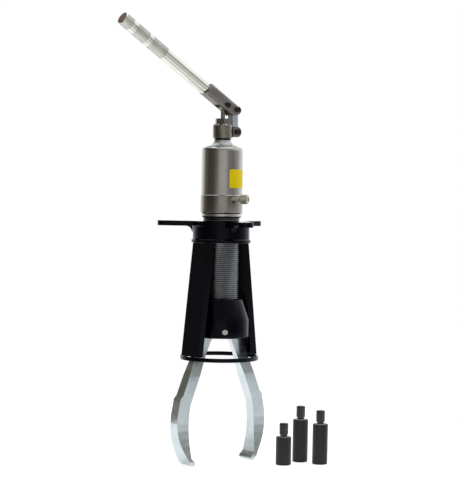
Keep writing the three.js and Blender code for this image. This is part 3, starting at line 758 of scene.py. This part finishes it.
# ---------------------------------------------------------------- floor, light and camera
def camera():
    """Places the camera and returns the direction from the object back towards it."""
    data = bpy.data.cameras.new("view_camera")
    data.sensor_fit = "HORIZONTAL"
    data.sensor_width = 36.0
    data.lens = CAMERA_LENS
    data.shift_x, data.shift_y = CAMERA_SHIFT
    data.clip_start = 0.05
    data.clip_end = 100
    a, e, r = CAMERA_AZIMUTH, CAMERA_ELEVATION, CAMERA_ROLL
    back = Vector((math.sin(a) * math.cos(e), -math.cos(a) * math.cos(e), math.sin(e)))
    right = Vector((math.cos(a), math.sin(a), 0))
    up = back.cross(right)
    rolled_right = right * math.cos(r) + up * math.sin(r)
    rolled_up = back.cross(rolled_right)
    turn = Matrix((rolled_right, rolled_up, back)).transposed().to_4x4()
    made = bpy.data.objects.new("view_camera", data)
    made.matrix_world = Matrix.Translation(CAMERA_TARGET + back * CAMERA_DISTANCE) @ turn
    bpy.context.scene.collection.objects.link(made)
    bpy.context.scene.camera = made
    return back


def band_of_light(w, around, stops):
    """A band of light round the room. A stop is (degrees to the right of the camera, level, tint)."""
    ramp = w.node("ShaderNodeValToRGB")
    ramp.color_ramp.interpolation = "EASE"
    elements = ramp.color_ramp.elements
    while len(elements) > 1:
        elements.remove(elements[-1])
    for number, (degrees, level, tint) in enumerate(stops):
        where = (degrees + 180) / 360
        stop = elements[0] if number == 0 else elements.new(where)
        stop.position = where
        stop.color = (*[min(1.0, level * c) for c in tint], 1.0)
    w.link(around, ramp.inputs["Fac"])
    return ramp.outputs["Color"]


def studio_world():
    """A soft studio for light and reflections: bright behind the object, darker bands beside the camera.

    One band lies below the horizon, one at it and one above. The camera itself sees plain white.
    """
    world = bpy.data.worlds.new("studio")
    bpy.context.scene.world = world
    world.use_nodes = True
    w = Wiring(world.node_tree)
    w.tree.nodes.clear()
    right, away, up = w.from_camera(w.node("ShaderNodeTexCoord").outputs["Generated"])
    angle = w.math("ARCTAN2", right, w.math("MULTIPLY", away, -1.0))
    around = w.span(angle, -math.pi, math.pi)
    warm = (1.15, 1.0, 0.85)
    olive = (1.0, 1.0, 0.74)
    cool = (0.97, 1.0, 1.04)
    plain = (1.0, 1.0, 0.97)
    level = band_of_light(w, around, [
        (-180, 1.0, cool), (-140, 0.95, cool), (-120, 0.62, plain), (-108, 0.16, warm), (-75, 0.055, warm),
        (-50, 0.065, warm), (-30, 0.15, plain), (-8, 0.50, plain), (16, 0.52, plain), (42, 0.20, plain),
        (66, 0.15, warm), (82, 0.27, plain), (100, 0.42, cool), (122, 0.88, cool), (180, 1.0, cool)])
    high = band_of_light(w, around, [
        (-180, 0.95, cool), (-145, 0.75, cool), (-124, 0.12, olive), (-95, 0.06, olive), (-50, 0.05, warm),
        (-15, 0.30, plain), (25, 0.35, plain), (62, 0.45, cool), (90, 0.85, cool), (130, 0.95, cool),
        (180, 0.95, cool)])
    low = band_of_light(w, around, [
        (-180, 1.0, cool), (-140, 1.0, cool), (-124, 0.45, plain), (-110, 0.12, olive), (-85, 0.10, olive),
        (-50, 0.10, warm), (-20, 0.40, plain), (10, 0.48, plain), (45, 0.46, plain), (77, 0.58, cool),
        (100, 0.70, cool), (130, 0.95, cool), (180, 1.0, cool)])
    room = w.mix(w.span(up, -0.055, -0.025, easing="SMOOTHSTEP"), low, level)
    room = w.mix(w.span(up, 0.12, 0.34, easing="SMOOTHSTEP"), room, high)
    room = w.mix(w.span(up, 0.6, 0.95, easing="SMOOTHSTEP"), room, (0.9, 0.94, 1.0))
    studio = w.node("ShaderNodeBackground")
    studio.inputs["Strength"].default_value = 1.15
    w.link(room, studio.inputs["Color"])
    white = w.node("ShaderNodeBackground")
    white.inputs["Color"].default_value = (1.0, 1.0, 1.0, 1.0)
    choose = w.node("ShaderNodeMixShader")
    w.link(w.camera_ray(), choose.inputs[0])
    w.link(studio.outputs[0], choose.inputs[1])
    w.link(white.outputs[0], choose.inputs[2])
    w.link(choose.outputs[0], w.node("ShaderNodeOutputWorld").inputs["Surface"])


def floor():
    """A pale floor under the rods. In reflections it gets dimmer towards the camera's right."""
    half = 0.6
    height = mm_box("extension_rod_short")[0].z * MM
    mesh = bpy.data.meshes.new("studio_floor")
    corners = [(-half, -half, height), (half, -half, height), (half, half, height), (-half, half, height)]
    mesh.from_pydata(corners, [], [(0, 1, 2, 3)])
    made = bpy.data.objects.new("studio_floor", mesh)
    bpy.context.scene.collection.objects.link(made)
    s = Shader("pale_floor")
    speck = s.noise(s.coords(EVEN), 60.0)
    plain = s.mix(speck, (0.70, 0.70, 0.70), (0.73, 0.73, 0.73))
    seen = s.camera_ray()
    shade = s.span(s.from_camera(s.coords(EVEN))[0], 0.0, 0.3, 1.0, 0.62)
    s.link(s.mix(s.math("MAXIMUM", seen, shade), (0.42, 0.42, 0.42), plain), s.bsdf.inputs["Base Color"])
    s.bsdf.inputs["Roughness"].default_value = 0.9
    s.bsdf.inputs["Specular IOR Level"].default_value = 0.1
    s.bsdf.inputs["Emission Color"].default_value = (1, 1, 1, 1)
    glow = s.math("MAXIMUM", s.math("MULTIPLY", seen, 0.72), s.math("MULTIPLY", shade, 0.52))
    s.link(glow, s.bsdf.inputs["Emission Strength"])
    mesh.materials.append(s.material)


def overhead_box(back):
    """A soft box above the object and slightly behind it, aimed at the object's middle."""
    aim = Vector((0, 0, 0.08))
    data = bpy.data.lights.new("overhead_box", "AREA")
    data.shape = "RECTANGLE"
    data.size = 1.4
    data.size_y = 1.0
    data.energy = 5
    made = bpy.data.objects.new("overhead_box", data)
    made.location = aim + (Vector((0, 0, 1)) - back * 0.25).normalized() * 1.8
    made.rotation_euler = (aim - made.location).to_track_quat("-Z", "Y").to_euler()
    bpy.context.scene.collection.objects.link(made)


# ---------------------------------------------------------------- build
threaded_stem()
cylinder_barrel()
cylinder_base()
lock_ring()
cylinder_cap()
swivel_o_ring()
label()
cage_collar()
cage_ring()
ram_saddle()
valve_knob()
lever_bar()
end_plug()
gland_nut()
extension_rods()
handle_gussets()

kept_bevels = {
    "jaw_head": 1.0, "cage_leg_left": 0.9, "cage_leg_right": 0.9, "t_handle_plate": 1.0, "jaw_left": 1.0,
    "jaw_right": 1.0, "pump_body": 0.7, "fulcrum_link": 0.7, "lever_bracket": 0.6, "pump_plunger": 0.4,
    "jaw_pin_left": 0.6, "jaw_pin_right": 0.6, "valve_stem": 0.3,
}
# The plunger gets the darker pump steel as painted shade: it darkens the plunger's eye down in the bracket's slot.
kept_finishes = {
    "pump_body": pump_steel.material, "pump_plunger": pump_steel.material, "fulcrum_link": link_zinc.material,
    "valve_stem": valve_steel.material,
}
for node, held in frame["nodes"].items():
    if not held.hide_render:
        keep(node, kept_bevels.get(node, 0.25), kept_finishes.get(node) or finish_of(node_slot[node]))

studio_world()
floor()
overhead_box(camera())

scene = bpy.context.scene
scene.view_settings.view_transform = "Standard"
scene.view_settings.look = "None"
